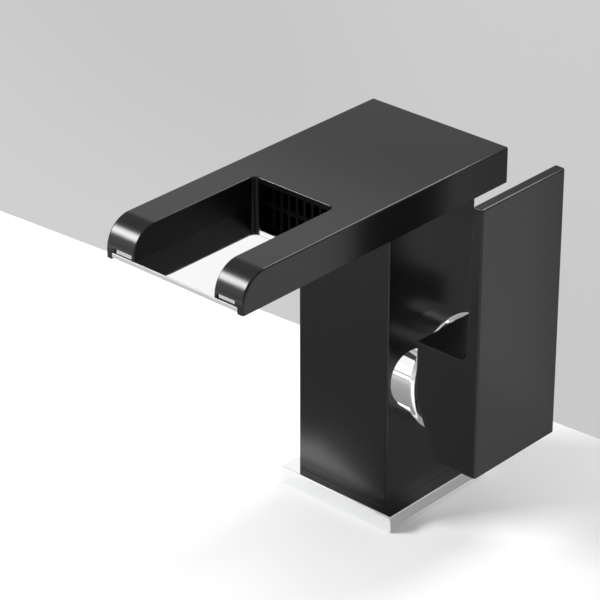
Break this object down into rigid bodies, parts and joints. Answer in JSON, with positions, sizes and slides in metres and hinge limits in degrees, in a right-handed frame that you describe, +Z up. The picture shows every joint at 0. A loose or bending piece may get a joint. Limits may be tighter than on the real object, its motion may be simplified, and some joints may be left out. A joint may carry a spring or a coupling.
{
  "type": "waterfall basin tap",
  "caption": "Basin tap with a square column, an open-topped waterfall spout over a mirror plate, a side lever with a flat upright plate, and a mixing valve inside.",
  "frame": {"origin": "centre of the tap hole on the top face of the basin's deck, where the base plate rests", "axes": "+Z up, the spout points along -Y, the lever is on the +X side and the valve's axis runs along X"},
  "size_m": [0.0979, 0.1435, 0.1996],
  "materials": {
    "black_finish": "satin black coating on cast metal",
    "chrome": "polished",
    "steel": "plain stainless steel",
    "brass": "machined",
    "seal_rubber": "matte",
    "black_plastic": "matte",
    "white_plastic": "moulded",
    "ceramic": "lapped ceramic"
  },
  "bodies": {
    "body": {"base_plate": "chrome", "base_seal": "seal_rubber", "column_skirt": "black_finish", "body_column": "black_finish", "inlet_block": "brass", "inlet_seals": "seal_rubber", "head_seal": "seal_rubber", "spout_head": "black_finish", "spill_plate": "chrome", "spill_plate_screws": "steel", "flow_diffuser": "black_plastic", "head_bolts": "steel", "valve_base": "white_plastic", "port_seals": "seal_rubber", "fixed_disc": "ceramic", "valve_housing": "white_plastic", "valve_nut": "brass", "bonnet_cap": "chrome", "mounting_stud": "brass", "clamp_pad": "seal_rubber", "clamp_plate": "steel", "stud_nut": "brass"},
    "mixing_rotor": {"stem_carrier": "white_plastic", "stem_pin": "steel", "carrier_ring": "seal_rubber"},
    "lever": {"lever_handle": "black_finish", "control_stem": "brass", "lever_grub_screw": "steel", "lever_plug": "black_plastic"},
    "sliding_disc": {"moving_disc": "ceramic", "disc_driver": "white_plastic"}
  },
  "joints": [
    {"name": "temperature_turn", "type": "hinge", "parent": "body", "child": "mixing_rotor", "pos_m": [0, 0, 0.0607], "axis": [1, 0, 0], "range_deg": [-45, 45]},
    {"name": "flow_tilt", "type": "hinge", "parent": "mixing_rotor", "child": "lever", "pos_m": [0.02, 0, 0.0607], "axis": [0, 1, 0], "range_deg": [0, 20]},
    {"name": "disc_slide", "type": "slide", "parent": "mixing_rotor", "child": "sliding_disc", "axis": [0, 0, 1], "range_m": [0, 0.0036]}
  ],
  "couplings": [
    {"joint": "disc_slide", "follows": "flow_tilt", "m_per_rad": 0.0096}
  ]
}
